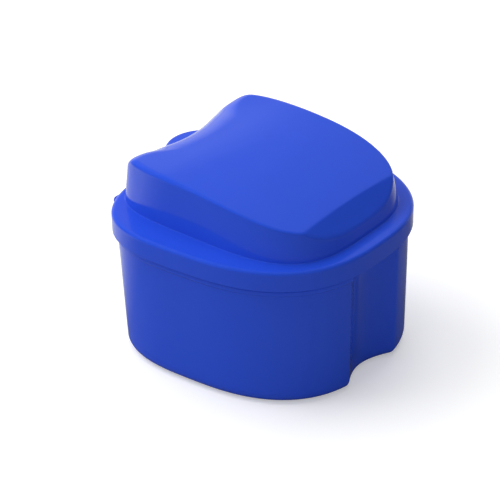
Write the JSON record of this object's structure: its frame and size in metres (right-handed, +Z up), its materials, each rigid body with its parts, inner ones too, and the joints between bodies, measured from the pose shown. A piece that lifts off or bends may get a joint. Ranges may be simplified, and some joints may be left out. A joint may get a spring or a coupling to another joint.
{
  "type": "denture case",
  "caption": "Deep rounded cup with a domed lid on a rear hinge and a lift-out strainer basket, for soaking and storing dentures.",
  "frame": {"origin": "on the surface the case stands on, below the middle of its bounding box", "axes": "+Z up, +Y towards the hinge at the back, -Y towards the finger notch at the front, +X to the right"},
  "size_m": [0.089, 0.0926, 0.0676],
  "materials": {
    "blue_plastic": "smooth moulded gloss",
    "white_plastic": "smooth moulded satin gloss",
    "steel": "drawn wire"
  },
  "bodies": {
    "cup": {"cup": "blue_plastic", "hinge_pin": "steel"},
    "lid": {"lid": "blue_plastic"},
    "basket": {"basket": "white_plastic"}
  },
  "joints": [
    {"name": "lid_hinge", "type": "hinge", "parent": "cup", "child": "lid", "pos_m": [0, 0.0441, 0.044], "axis": [-1, 0, 0], "range_deg": [0, 130]},
    {"name": "basket_lift", "type": "slide", "parent": "cup", "child": "basket", "axis": [0, 0, 1], "range_m": [0, 0.04]}
  ],
  "couplings": [
    {"joint": "basket_lift", "follows": "lid_hinge", "m_per_rad": 0.01762}
  ]
}
